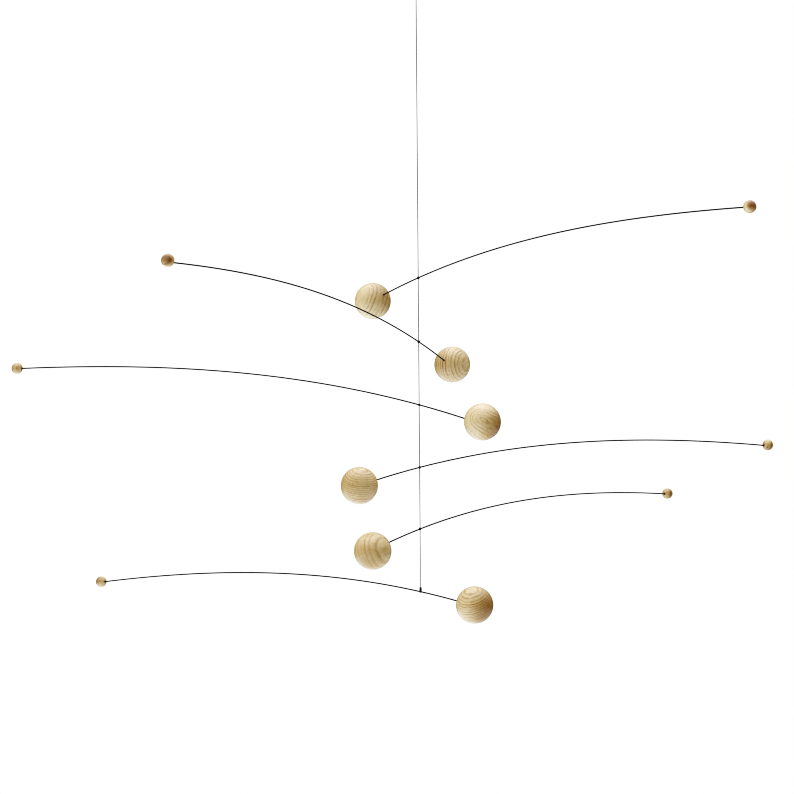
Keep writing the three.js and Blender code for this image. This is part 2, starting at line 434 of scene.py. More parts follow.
class Grain(Enum):
    """The balls' grain, named for what shows of it from the front."""

    LEANING_BOWS = Cut(
        stem=(-0.387, 0.12, -0.914),
        pith=(-9.83, -14.66, 2.25),
        bend=(-0.0094, 0.0113, 0.0055),
        ring_width=3.193,
        shift=0.062,
        strength=0.55,
        side=(0.87, -0.24, 0.42),
        darkness=0.2,
        tan=0.04,
    )
    CLEAR_ARCS = Cut(
        stem=(0.606, 0.791, 0.081),
        pith=(112.37, -86.02, -1.12),
        bend=(0.0078, -0.0059, -0.001),
        ring_width=2.452,
        shift=0.794,
        strength=0.9,
        side=(-0.96, -0.26, -0.13),
        darkness=0.2,
        tan=0.04,
    )
    FANNED_ARCS = Cut(
        stem=(0.729, 0.569, -0.381),
        pith=(6.79, -10.37, -2.49),
        bend=(-0.0017, 0.0046, 0.0037),
        ring_width=2.6,
        shift=0.101,
        strength=0.6,
        side=(0.9, -0.12, -0.42),
        darkness=0.46,
        tan=0.02,
    )
    FINE_LEVEL_LINES = Cut(
        stem=(0.849, 0.524, 0.067),
        pith=(15.11, -34.59, 78.75),
        bend=(-0.0005, 0.001, -0.0014),
        ring_width=1.647,
        shift=0.502,
        strength=0.85,
        side=(-0.86, -0.51, -0.02),
        darkness=0.1,
        tan=0.08,
    )
    WIDE_ARCS = Cut(
        stem=(0.524, 0.678, 0.516),
        pith=(-30.86, 26.4, -3.35),
        bend=(-0.001, -0.0009, 0.0022),
        ring_width=3.485,
        shift=0.724,
        strength=0.48,
        side=(-0.51, -0.63, -0.59),
        darkness=0.16,
        tan=0.075,
    )
    CLOSE_ARCS = Cut(
        stem=(-0.779, 0.608, 0.154),
        pith=(5.35, 13.15, -24.85),
        bend=(0.0013, 0.0036, -0.0078),
        ring_width=1.496,
        shift=0.098,
        strength=1.15,
        side=(0.9, -0.37, -0.21),
        darkness=0.4,
        tan=0.07,
    )
    SHADED_SIDE = Cut(
        stem=(0.506, 0.152, 0.849),
        pith=(-0.51, -10.05, 2.11),
        bend=(0.0082, 0.0198, -0.0084),
        ring_width=3.596,
        shift=0.219,
        strength=1.2,
        side=(0.52, -0.77, 0.38),
        darkness=0.62,
        tan=0.0,
    )
    SHADED_HEART = Cut(
        stem=(-0.427, 0.096, 0.899),
        pith=(1.69, 3.5, 0.43),
        bend=(-0.0148, 0.0068, -0.0077),
        ring_width=2.769,
        shift=0.009,
        strength=0.9,
        side=(0.0, -0.97, 0.15),
        darkness=0.38,
        tan=0.10,
    )
    SWIRL = Cut(
        stem=(-0.999, -0.017, 0.029),
        pith=(-0.01, 2.06, 0.7),
        bend=(-0.0005, 0.0006, -0.0159),
        ring_width=3.549,
        shift=0.591,
        strength=2.4,
        side=(-0.98, 0.17, -0.06),
        darkness=0.34,
        tan=0.14,
    )
    SHADED_RIM = Cut(
        stem=(-0.023, -0.435, -0.9),
        pith=(-0.38, -2.71, 1.32),
        bend=(-0.0279, 0.0105, -0.0044),
        ring_width=3.48,
        shift=0.753,
        strength=1.8,
        side=(0.3, -0.42, -0.86),
        darkness=0.26,
        tan=0.13,
    )
    SHADED_HALF = Cut(
        stem=(-0.96, 0.276, -0.041),
        pith=(0.56, 1.91, -0.19),
        bend=(-0.0013, -0.0044, 0.0009),
        ring_width=3.597,
        shift=0.402,
        strength=2.0,
        side=(1.0, -0.07, 0.03),
        darkness=0.36,
        tan=0.18,
    )
    SOFT_SWIRL = Cut(
        stem=(-0.919, -0.11, 0.38),
        pith=(-0.44, 3.75, 0.02),
        bend=(-0.0019, -0.0027, -0.0054),
        ring_width=3.6,
        shift=0.084,
        strength=2.2,
        side=(-0.86, -0.22, 0.45),
        darkness=0.34,
        tan=0.13,
    )


@dataclass(frozen=True)
class TurnedAsh:
    """Ash, turned to a ball, sanded and waxed.

    Pale cream wood with darker yearly rings, fine fibres along the stem, short pores and a satin
    surface that turns whitish at a flat angle. The streaks say how strongly the fibres show.
    """

    name: str
    centre: Vector
    radius: float
    grain: Grain
    seed: float
    streaks: float

    # From pale spring wood to the darkest old summer wood
    tones: tuple[str, ...] = ("E4CDA2", "BF9C61", "A27331", "8A5818", "75480C")

    # How much summer wood shows at each time of a year
    seasons: tuple[tuple[float, float], ...] = (
        (0.0, 0.2),
        (0.12, 0.0),
        (0.5, 0.05),
        (0.76, 0.8),
        (0.9, 1.0),
        (1.0, 0.2),
    )

    # The rings wander by up to a millimetre, in swells 11 mm wide and three times that along the stem
    wander: float = 1.0
    wander_scale: float = 0.09
    wander_along: float = 0.35

    # Years differ by a share of a ring's width, with the years near them, and in their summer wood
    uneven_widths: float = 0.6
    alike_years: float = 0.45
    least_summer: float = 0.3

    # The rings fade in and out in patches 10 mm wide, and the fibres break up their edges
    patch_scale: float = 0.10
    faintest: float = 0.15
    clearest: float = 0.50
    edge_break: float = 5.0
    edge_boost: float = 1.15

    # Fibres and flecks a millimetre wide and six long: real fibres are finer, but these have to show
    fibre_scale: Triple = (0.9, 0.9, 0.16)

    # Open pores are thin dashes, a fifth of a millimetre wide and about two long
    pore_scale: Triple = (4.5, 4.5, 0.45)
    pore_edges: tuple[float, float] = (0.54, 0.68)
    pore_darkness: float = 0.13

    # The higher, the more the darker side (older wood and painted shade) keeps to its side
    dark_side_focus: float = 1.7

    # Summer wood stands up and pores lie below, as shares of the relief's depth in millimetres
    ring_height: float = 0.5
    pore_height: float = -0.6
    relief_depth: float = 0.05
    relief_strength: float = 0.1

    roughness: tuple[float, float] = (0.42, 0.58)
    ior: float = 1.5
    wax: float = 1.0
    wax_roughness: float = 0.35

    def coordinates(self, tree: bpy.types.NodeTree) -> bpy.types.NodeSocket:
        """Measures from the stem's pith.

        Args:
            tree: the material's nodes.

        Returns:
            Places in the ball in millimetres, with Z along the stem and the pith straightened.
        """
        cut = self.grain.value
        turn = UP.rotation_difference(Vector(cut.stem).normalized())
        bend = turn.inverted() @ Vector(cut.bend)
        source = add_node(tree, "ShaderNodeTexCoord")
        mapping = add_node(
            tree,
            "ShaderNodeMapping",
            {"vector_type": "TEXTURE"},
            {
                "Vector": source.outputs["Object"],
                "Location": (self.centre + Vector(cut.pith)) * MM,
                "Rotation": turn.to_euler(),
                "Scale": (MM, MM, MM),
            },
        )
        along = add_node(
            tree, "ShaderNodeSeparateXYZ", inputs={"Vector": mapping.outputs["Vector"]}
        ).outputs["Z"]
        squared = add_node(tree, "ShaderNodeMath", {"operation": "MULTIPLY"}, {0: along, 1: along})
        return add_node(
            tree,
            "ShaderNodeVectorMath",
            {"operation": "MULTIPLY_ADD"},
            {0: squared.outputs[0], 1: (-bend.x, -bend.y, 0.0), 2: mapping.outputs["Vector"]},
        ).outputs[0]

    def dark_wood_and_shade(self, tree: bpy.types.NodeTree) -> bpy.types.NodeSocket:
        """Darkens one side of the ball, partly as older wood and partly as painted shade.

        Args:
            tree: the material's nodes.

        Returns:
            How much darker the wood is, painted shade included.
        """
        cut = self.grain.value
        source = add_node(tree, "ShaderNodeTexCoord")
        from_centre = add_node(
            tree,
            "ShaderNodeMapping",
            {"vector_type": "TEXTURE"},
            {
                "Vector": source.outputs["Object"],
                "Location": self.centre * MM,
                "Scale": (self.radius * MM,) * 3,
            },
        )
        # Darker toward the cut's side: partly older wood, partly painted shade
        toward = add_node(
            tree,
            "ShaderNodeVectorMath",
            {"operation": "DOT_PRODUCT"},
            {0: from_centre.outputs["Vector"], 1: Vector(cut.side).normalized()},
        )
        kept = add_node(
            tree, "ShaderNodeMath", {"operation": "MAXIMUM"}, {0: toward.outputs["Value"], 1: 0.0}
        )
        curved = add_node(
            tree, "ShaderNodeMath", {"operation": "POWER"}, {0: kept.outputs[0], 1: self.dark_side_focus}
        )
        return add_node(
            tree,
            "ShaderNodeMath",
            {"operation": "MULTIPLY_ADD"},
            {0: curved.outputs[0], 1: cut.darkness, 2: cut.tan},
        ).outputs[0]

    def age(self, tree: bpy.types.NodeTree, place: bpy.types.NodeSocket) -> bpy.types.NodeSocket:
        """Counts the years from the pith outwards.

        Args:
            tree: the material's nodes.
            place: the coordinates from the pith.

        Returns:
            The stem's age when the wood at a place grew, in years and parts of a year.
        """
        cut = self.grain.value
        stretched = add_node(
            tree,
            "ShaderNodeVectorMath",
            {"operation": "MULTIPLY"},
            {0: place, 1: (1.0, 1.0, self.wander_along)},
        )
        wander = add_node(
            tree,
            "ShaderNodeTexNoise",
            {"noise_dimensions": "4D"},
            {
                "Vector": stretched.outputs[0],
                "W": self.seed,
                "Scale": self.wander_scale,
                "Detail": 4.0,
                "Roughness": 0.6,
            },
        )
        shift = add_node(
            tree,
            "ShaderNodeVectorMath",
            {"operation": "MULTIPLY_ADD"},
            {
                0: wander.outputs["Color"],
                1: (2 * self.wander, 2 * self.wander, 0.0),
                2: (-self.wander, -self.wander, 0.0),
            },
        )
        moved = add_node(tree, "ShaderNodeVectorMath", {"operation": "ADD"}, {0: place, 1: shift.outputs[0]})
        flat = add_node(
            tree,
            "ShaderNodeVectorMath",
            {"operation": "MULTIPLY"},
            {0: moved.outputs[0], 1: (1.0, 1.0, 0.0)},
        )
        radius = add_node(tree, "ShaderNodeVectorMath", {"operation": "LENGTH"}, {0: flat.outputs[0]})
        even = add_node(
            tree,
            "ShaderNodeMath",
            {"operation": "MULTIPLY_ADD"},
            {0: radius.outputs["Value"], 1: 1 / cut.ring_width, 2: cut.shift},
        )
        climate = add_node(
            tree,
            "ShaderNodeTexNoise",
            {"noise_dimensions": "1D"},
            {"W": even.outputs[0], "Scale": self.alike_years, "Detail": 1.0},
        )
        centred = add_node(tree, "ShaderNodeMath", {"operation": "SUBTRACT"}, {0: climate.outputs[0], 1: 0.5})
        return add_node(
            tree,
            "ShaderNodeMath",
            {"operation": "MULTIPLY_ADD"},
            {0: centred.outputs[0], 1: self.uneven_widths, 2: even.outputs[0]},
        ).outputs[0]

    def rings(self, tree: bpy.types.NodeTree, place: bpy.types.NodeSocket) -> bpy.types.NodeSocket:
        """Draws the yearly rings.

        Args:
            tree: the material's nodes.
            place: the coordinates from the pith.

        Returns:
            How much summer wood shows, from nought to one.
        """
        age = self.age(tree, place)
        season = add_node(tree, "ShaderNodeMath", {"operation": "FRACT"}, {0: age})
        shape = add_node(tree, "ShaderNodeValToRGB", inputs={"Fac": season.outputs[0]})
        set_ramp(shape, self.seasons)
        year = add_node(tree, "ShaderNodeMath", {"operation": "FLOOR"}, {0: age})
        chance = add_node(
            tree, "ShaderNodeTexWhiteNoise", {"noise_dimensions": "1D"}, {"W": year.outputs[0]}
        )
        summer = add_node(
            tree,
            "ShaderNodeMapRange",
            inputs={"Value": chance.outputs["Value"], "To Min": self.least_summer, "To Max": 1.0},
        )
        return add_node(
            tree,
            "ShaderNodeMath",
            {"operation": "MULTIPLY"},
            {0: shape.outputs["Color"], 1: summer.outputs["Result"]},
        ).outputs[0]

    def fibres(self, tree: bpy.types.NodeTree, place: bpy.types.NodeSocket) -> bpy.types.NodeSocket:
        """Draws fibres and flecks.

        Args:
            tree: the material's nodes.
            place: the coordinates from the pith.

        Returns:
            The fibres' tone, from nought to one.
        """
        drawn = add_node(
            tree, "ShaderNodeVectorMath", {"operation": "MULTIPLY"}, {0: place, 1: self.fibre_scale}
        )
        return add_node(
            tree,
            "ShaderNodeTexNoise",
            inputs={"Vector": drawn.outputs[0], "Scale": 1.0, "Detail": 3.0, "Roughness": 0.6},
        ).outputs["Fac"]

    def pores(self, tree: bpy.types.NodeTree, place: bpy.types.NodeSocket) -> bpy.types.NodeSocket:
        """Draws the open pores.

        Args:
            tree: the material's nodes.
            place: the coordinates from the pith.

        Returns:
            Nought between the pores and one in them.
        """
        drawn = add_node(
            tree, "ShaderNodeVectorMath", {"operation": "MULTIPLY"}, {0: place, 1: self.pore_scale}
        )
        scatter = add_node(
            tree,
            "ShaderNodeTexNoise",
            inputs={"Vector": drawn.outputs[0], "Scale": 1.0, "Detail": 2.0, "Roughness": 0.5},
        )
        return add_node(
            tree,
            "ShaderNodeMapRange",
            inputs={
                "Value": scatter.outputs["Fac"],
                "From Min": self.pore_edges[0],
                "From Max": self.pore_edges[1],
            },
        ).outputs["Result"]

    def colour(
        self,
        tree: bpy.types.NodeTree,
        place: bpy.types.NodeSocket,
        rings: bpy.types.NodeSocket,
        fibres: bpy.types.NodeSocket,
        pores: bpy.types.NodeSocket,
    ) -> bpy.types.NodeSocket:
        """Lays rings, the darker side (older wood and painted shade), fibres and pores over the pale wood.

        Args:
            tree: the material's nodes.
            place: the coordinates from the pith.
            rings: the summer wood.
            fibres: the fibres' tone.
            pores: the pores.

        Returns:
            The wood's colour.
        """
        strength = self.grain.value.strength
        patches = add_node(
            tree,
            "ShaderNodeTexNoise",
            {"noise_dimensions": "4D"},
            {"Vector": place, "W": self.seed + PATCH_SEED, "Scale": self.patch_scale, "Detail": 3.0},
        )
        faded = add_node(
            tree,
            "ShaderNodeMapRange",
            inputs={
                "Value": patches.outputs["Fac"],
                "From Min": NOISE_CORE[0],
                "From Max": NOISE_CORE[1],
                "To Min": self.faintest * strength,
                "To Max": self.clearest * strength,
            },
        )
        broken = add_node(
            tree,
            "ShaderNodeMapRange",
            inputs={
                "Value": fibres,
                "From Min": NOISE_CORE[0],
                "From Max": NOISE_CORE[1],
                "To Min": 1 - self.edge_break * self.streaks,
                "To Max": self.edge_boost,
            },
        )
        summer = add_node(
            tree, "ShaderNodeMath", {"operation": "MULTIPLY"}, {0: rings, 1: broken.outputs["Result"]}
        )
        ringed = add_node(
            tree,
            "ShaderNodeMath",
            {"operation": "MULTIPLY_ADD"},
            {0: summer.outputs[0], 1: faded.outputs["Result"], 2: self.dark_wood_and_shade(tree)},
        )
        streak = add_node(
            tree,
            "ShaderNodeMapRange",
            inputs={
                "Value": fibres,
                "From Min": NOISE_REACH[0],
                "From Max": NOISE_REACH[1],
                "To Min": -self.streaks,
                "To Max": self.streaks,
            },
        )
        streaked = add_node(
            tree,
            "ShaderNodeMath",
            {"operation": "ADD"},
            {0: ringed.outputs[0], 1: streak.outputs["Result"]},
        )
        darkness = add_node(
            tree,
            "ShaderNodeMath",
            {"operation": "MULTIPLY_ADD", "use_clamp": True},
            {0: pores, 1: self.pore_darkness, 2: streaked.outputs[0]},
        )
        tone = add_node(tree, "ShaderNodeValToRGB", inputs={"Fac": darkness.outputs[0]})
        set_ramp(tone, [(i / (len(self.tones) - 1), shade) for i, shade in enumerate(self.tones)])
        return tone.outputs["Color"]

    def build(self) -> bpy.types.Material:
        """Makes the finish.

        Returns:
            The material.
        """
        material, tree, shader = new_material(self.name)
        place = self.coordinates(tree)
        rings = self.rings(tree, place)
        fibres = self.fibres(tree, place)
        pores = self.pores(tree, place)
        tree.links.new(self.colour(tree, place, rings, fibres, pores), shader.inputs["Base Color"])
        shader.inputs["IOR"].default_value = self.ior
        shader.inputs["Coat Weight"].default_value = self.wax
        shader.inputs["Coat Roughness"].default_value = self.wax_roughness
        ridges = add_node(
            tree,
            "ShaderNodeMath",
            {"operation": "MULTIPLY_ADD"},
            {0: rings, 1: self.ring_height, 2: fibres},
        )
        relief = add_node(
            tree,
            "ShaderNodeMath",
            {"operation": "MULTIPLY_ADD"},
            {0: pores, 1: self.pore_height, 2: ridges.outputs[0]},
        )
        strength = self.relief_strength + self.streaks
        set_surface(tree, shader, fibres, self.roughness, relief.outputs[0], self.relief_depth, strength)
        return material


@dataclass(frozen=True)
class LacqueredSteel:
    """Spring steel wire, drawn and lacquered black: nearly black, satin, with faint drawing lines."""

    name: str = "black_lacquered_spring_steel"
    shade: str = "040203"
    worn_shade: str = "0C090A"
    glint: str = "FFE6D2"
    specular: float = 0.25
    roughness: tuple[float, float] = (0.37, 0.55)
    relief_depth: float = 0.02
    relief_strength: float = 0.15

    # Lacquer gathers in patches a millimetre or two long
    patches_per_mm: float = 0.6

    def build(self) -> bpy.types.Material:
        """Makes the finish.

        Returns:
            The material.
        """
        material, tree, shader = new_material(self.name)
        source = add_node(tree, "ShaderNodeTexCoord")
        patches = add_node(
            tree,
            "ShaderNodeTexNoise",
            inputs={"Vector": source.outputs["Object"], "Scale": self.patches_per_mm / MM, "Detail": 3.0},
        ).outputs["Fac"]
        colour = add_node(
            tree,
            "ShaderNodeMix",
            {"data_type": "RGBA"},
            {"Factor": patches, COLOUR_A: linear(self.shade), COLOUR_B: linear(self.worn_shade)},
        )
        tree.links.new(colour.outputs[MIXED_COLOUR], shader.inputs["Base Color"])
        shader.inputs["Specular IOR Level"].default_value = self.specular
        shader.inputs["Specular Tint"].default_value = linear(self.glint)
        set_surface(tree, shader, patches, self.roughness, patches, self.relief_depth, self.relief_strength)
        return material


@dataclass(frozen=True)
class TwistedPolyester:
    """Three-ply sewing thread of spun polyester: dull grey, with fine fibres and a soft fuzz."""

    name: str = "grey_twisted_thread"
    shade: str = "302C2C"
    light_shade: str = "504B4A"
    roughness: float = 0.85
    fuzz: float = 0.1
    fuzz_roughness: float = 0.5
    relief_depth: float = 0.02
    relief_strength: float = 0.4

    # Fibres of about a twentieth of a millimetre, drawn out along the thread
    fibres_across_mm: float = 20.0
    fibres_along_mm: float = 4.0

    # The lowest stretch carries one arm alone, and its looser twist shows paler. Heights are metres.
    loose_shade: str = "7C7A7D"
    loose_below: float = -0.469
    loosens_over: float = 0.004

    def build(self) -> bpy.types.Material:
        """Makes the finish.

        Returns:
            The material.
        """
        material, tree, shader = new_material(self.name)
        source = add_node(tree, "ShaderNodeTexCoord")
        across = self.fibres_across_mm / MM
        drawn = add_node(
            tree,
            "ShaderNodeMapping",
            inputs={"Vector": source.outputs["Object"], "Scale": (across, across, self.fibres_along_mm / MM)},
        )
        fibres = add_node(
            tree,
            "ShaderNodeTexNoise",
            inputs={"Vector": drawn.outputs["Vector"], "Scale": 1.0, "Detail": 2.0},
        ).outputs["Fac"]
        colour = add_node(
            tree,
            "ShaderNodeMix",
            {"data_type": "RGBA"},
            {"Factor": fibres, COLOUR_A: linear(self.shade), COLOUR_B: linear(self.light_shade)},
        )
        height = add_node(tree, "ShaderNodeSeparateXYZ", inputs={"Vector": source.outputs["Object"]})
        loose = add_node(
            tree,
            "ShaderNodeMapRange",
            inputs={
                "Value": height.outputs["Z"],
                "From Min": self.loose_below - self.loosens_over,
                "From Max": self.loose_below,
                "To Min": 1.0,
                "To Max": 0.0,
            },
        )
        paled = add_node(
            tree,
            "ShaderNodeMix",
            {"data_type": "RGBA"},
            {
                "Factor": loose.outputs["Result"],
                COLOUR_A: colour.outputs[MIXED_COLOUR],
                COLOUR_B: linear(self.loose_shade),
            },
        )
        tree.links.new(paled.outputs[MIXED_COLOUR], shader.inputs["Base Color"])
        shader.inputs["Roughness"].default_value = self.roughness
        shader.inputs["Sheen Weight"].default_value = self.fuzz
        shader.inputs["Sheen Roughness"].default_value = self.fuzz_roughness
        bump = add_node(
            tree,
            "ShaderNodeBump",
            inputs={"Strength": self.relief_strength, "Distance": self.relief_depth * MM, "Height": fibres},
        )
        tree.links.new(bump.outputs["Normal"], shader.inputs["Normal"])
        return material


@dataclass(frozen=True)
class PlainDarkFinish:
    """A plain dark finish whose gloss and relief vary with one soft pattern."""

    name: str
    shade: str
    roughness: tuple[float, float]
    waves_per_mm: float
    detail: float
    relief_depth: float
    relief_strength: float

    def build(self) -> bpy.types.Material:
        """Makes the finish.

        Returns:
            The material.
        """
        material, tree, shader = new_material(self.name)
        source = add_node(tree, "ShaderNodeTexCoord")
        waves = add_node(
            tree,
            "ShaderNodeTexNoise",
            inputs={
                "Vector": source.outputs["Object"],
                "Scale": self.waves_per_mm / MM,
                "Detail": self.detail,
            },
        ).outputs["Fac"]
        shader.inputs["Base Color"].default_value = linear(self.shade)
        set_surface(tree, shader, waves, self.roughness, waves, self.relief_depth, self.relief_strength)
        return material


@dataclass(frozen=True)
class BlackTubing(PlainDarkFinish):
    """Cut plastic tubing, extruded black: soft satin with a faint unevenness from the die."""

    name: str = "black_plastic_tubing"
    shade: str = "121213"
    roughness: tuple[float, float] = (0.4, 0.6)
    waves_per_mm: float = 1.2
    detail: float = 2.0
    relief_depth: float = 0.02
    relief_strength: float = 0.2


@dataclass(frozen=True)
class GlueDarkAsHoleShade(PlainDarkFinish):
    """Glue set to a glossy bead, drawn near black as painted shade for the dark mouth of the hole round the
    wire.

    Its waves are a millimetre long, coarser than real ones so that they show.
    """

    name: str = "glue_black_as_hole_shade"
    # Near black: painted shade for the dark mouth of the hole round the wire
    shade: str = "0C0B0A"
    roughness: tuple[float, float] = (0.15, 0.3)
    waves_per_mm: float = 1.0
    detail: float = 1.0
    relief_depth: float = 0.05
    relief_strength: float = 0.3


@dataclass
class Workshop:
    """The finishes that many pieces share, made once."""

    steel: bpy.types.Material = field(default_factory=lambda: LacqueredSteel().build())
    thread: bpy.types.Material = field(default_factory=lambda: TwistedPolyester().build())
    tubing: bpy.types.Material = field(default_factory=lambda: BlackTubing().build())
    glue: bpy.types.Material = field(default_factory=lambda: GlueDarkAsHoleShade().build())


@dataclass
class Strand:
    """A length of twisted thread that follows a path."""

    name: str
    path: list[Vector]
    body: str
    stands_for: str

    def build(self, workshop: Workshop) -> bpy.types.Object:
        """Draws the thread along its path, its plies turning once in each lay.

        Args:
            workshop: the shared finishes.

        Returns:
            The strand.
        """
        bm = bmesh.new()
        heading = (self.path[1] - self.path[0]).normalized()
        ring = section_ring(bm, self.path[0], heading, THREAD_RADIUS, THREAD_SIDES, PLIES)
        sweep(bm, ring, self.path, 2 * math.pi / LAY)
        close_ends(bm)
        return finish_piece(
            bm, self.name, workshop.thread, self.body, (self.stands_for,), THREAD_CREASE
        )


@dataclass
class Ball:
    """A large turned ball with a blind hole, seated on the end of a wire."""

    name: str
    body: str
    grain: Grain
    seed: float
    radius: float = BIG_BALL_RADIUS
    hole_depth: float = BIG_HOLE_DEPTH
    rim: float = 0.15
    sectors: int = 96
    arc_steps: int = 60
    streaks: float = 0.06

    def centre(self) -> Vector:
        """Gives the middle of the ball's node in the frame, in millimetres."""
        low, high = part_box(self.name)
        return (low + high) / (2 * MM)

    def entry(self, run: Sequence[Vector]) -> tuple[Vector, Vector]:
        """Finds where the wire comes out of the ball.

        Args:
            run: the wire's middle line, from its end in this ball outwards.

        Returns:
            The point on the ball's surface and the wire's outward direction there.
        """
        centre = self.centre()
        for here, there in zip(run, run[1:]):
            near, far = (here - centre).length, (there - centre).length
            if near <= self.radius < far:
                share = (self.radius - near) / (far - near)
                return here.lerp(there, share), (there - here).normalized()
        raise ValueError(f"the wire never leaves {self.name}")

    def turn_skin(self, bm: BMesh) -> None:
        """Turns the ball's outside about Z, open at the top inside the hole's broken rim.

        Args:
            bm: the empty mesh that gets the skin.
        """
        mouth_radius = WIRE_RADIUS + DRILLING_CLEARANCE
        shoulder = math.asin((mouth_radius + self.rim) / self.radius)
        start = bmesh.ops.create_vert(bm, co=(0.0, 0.0, -self.radius))["vert"]
        arc = bmesh.ops.spin(
            bm, geom=start, cent=(0, 0, 0), axis=-AWAY, angle=math.pi - shoulder, steps=self.arc_steps
        )["geom_last"]
        tip = [item for item in arc if isinstance(item, BMVert)]
        throat = bmesh.ops.extrude_vert_indiv(bm, verts=tip)["verts"]
        bmesh.ops.translate(bm, vec=(-self.rim, 0.0, -self.rim), verts=throat)
        bmesh.ops.spin(
            bm,
            geom=bm.verts[:] + bm.edges[:],
            cent=(0, 0, 0),
            axis=UP,
            angle=2 * math.pi,
            steps=self.sectors,
            use_merge=True,
        )
        bmesh.ops.remove_doubles(bm, verts=bm.verts, dist=JOIN_DISTANCE)

    def build(self, run: Sequence[Vector]) -> bpy.types.Object:
        """Turns the ball, stands its mouth round the wire and drills it along the wire.

        Args:
            run: the wire's middle line, from its end in this ball outwards.

        Returns:
            The ball.
        """
        centre = self.centre()
        mouth, outward = self.entry(run)
        bm = bmesh.new()
        self.turn_skin(bm)
        turn = UP.rotation_difference((mouth - centre).normalized()).to_matrix()
        bmesh.ops.rotate(bm, cent=(0, 0, 0), matrix=turn, verts=bm.verts)
        bmesh.ops.translate(bm, vec=centre, verts=bm.verts)
        throat = [edge for edge in bm.edges if edge.is_boundary]
        drilled = bmesh.ops.extrude_edge_only(bm, edges=throat)["geom"]
        floor = [item for item in drilled if isinstance(item, BMVert)]
        bmesh.ops.translate(bm, vec=-outward * self.hole_depth, verts=floor)
        close_ends(bm)
        wood = TurnedAsh(f"turned_ash_{self.name}", centre, self.radius, self.grain, self.seed, self.streaks)
        return finish_piece(bm, f"{self.name}_turned", wood.build(), self.body, (self.name,))


@dataclass
class SmallBall(Ball):
    """A small turned ball, of closer and more even wood."""

    radius: float = SMALL_BALL_RADIUS
    hole_depth: float = SMALL_HOLE_DEPTH
    rim: float = 0.12
    sectors: int = 56
    arc_steps: int = 34
    streaks: float = 0.03


@dataclass
class GlueBead:
    """A bead of glue round the wire where it enters a small ball, near black as painted shade for the hole's
    dark mouth.
    """

    name: str
    body: str
    mouth: Vector
    outward: Vector
    radius: float = 0.95
    height: float = 0.75
    fillet_steps: int = 8
    sectors: int = 24

    # The bead fills the hole's mouth: how deep its core and its edge reach below the ball's surface
    core_radius: float = 0.3
    core_depth: float = 0.5
    edge_depth: float = 0.35

    def build(self, workshop: Workshop) -> bpy.types.Object:
        """Turns the bead's rounded fillet and stands it on the ball.

        Args:
            workshop: the shared finishes.

        Returns:
            The bead.
        """
        profile = [(self.core_radius, -self.core_depth), (self.radius, -self.edge_depth)]
        for i in range(self.fillet_steps + 1):
            angle = i / self.fillet_steps * math.pi / 2
            reach = WIRE_RADIUS + (self.radius - WIRE_RADIUS) * math.cos(angle)
            profile.append((reach, self.height * math.sin(angle)))
        bm = bmesh.new()
        lathe(bm, profile, self.sectors)
        close_ends(bm)
        turn = UP.rotation_difference(self.outward).to_matrix()
        bmesh.ops.rotate(bm, cent=(0, 0, 0), matrix=turn, verts=bm.verts)
        bmesh.ops.translate(bm, vec=self.mouth, verts=bm.verts)
        return finish_piece(bm, self.name, workshop.glue, self.body)


@dataclass
class Wire:
    """A curved spring wire from the large ball to the small one."""

    name: str
    body: str
    sides: int = 14
    parts: int = 4
    end_chamfer: float = 0.12

    def middle_line(self, frame: dict[str, Any], toward: Vector) -> list[Vector]:
        """Reads the middle of the wire's node: the centre of each of its rings of corners.

        Args:
            frame: the loaded frame.
            toward: the level direction from the large ball to the small one.

        Returns:
            The middle line in millimetres, starting in the large ball.
        """
        bm = bmesh.new()
        bm.from_mesh(frame["nodes"][self.name].data)
        bmesh.ops.remove_doubles(bm, verts=bm.verts, dist=JOIN_DISTANCE * MM)
        corners = sorted((vert.co / MM for vert in bm.verts), key=toward.dot)
        bm.free()
        rings = [[corners[0]]]
        for before, corner in zip(corners, corners[1:]):
            if toward.dot(corner - before) > 4 * WIRE_RADIUS:
                rings.append([])
            rings[-1].append(corner)
        return [sum(ring, Vector()) / len(ring) for ring in rings]

    def build(self, path: Sequence[Vector], workshop: Workshop) -> bpy.types.Object:
        """Draws the wire along its middle line, with both ends broken by a small chamfer.

        Args:
            path: the wire's middle line.
            workshop: the shared finishes.

        Returns:
            The wire.
        """
        bm = bmesh.new()
        heading = (path[1] - path[0]).normalized()
        sweep(bm, section_ring(bm, path[0], heading, WIRE_RADIUS, self.sides), path)
        bmesh.ops.holes_fill(bm, edges=[edge for edge in bm.edges if edge.is_boundary])
        rims = [edge for edge in bm.edges if any(len(face.verts) == self.sides for face in edge.link_faces)]
        bmesh.ops.bevel(
            bm,
            geom=rims,
            offset=self.end_chamfer,
            affect="EDGES",
            segments=1,
            profile=0.5,
            material=-1,
        )
        bmesh.ops.recalc_face_normals(bm, faces=bm.faces)
        return finish_piece(bm, f"{self.name}_drawn", workshop.steel, self.body, (self.name,))


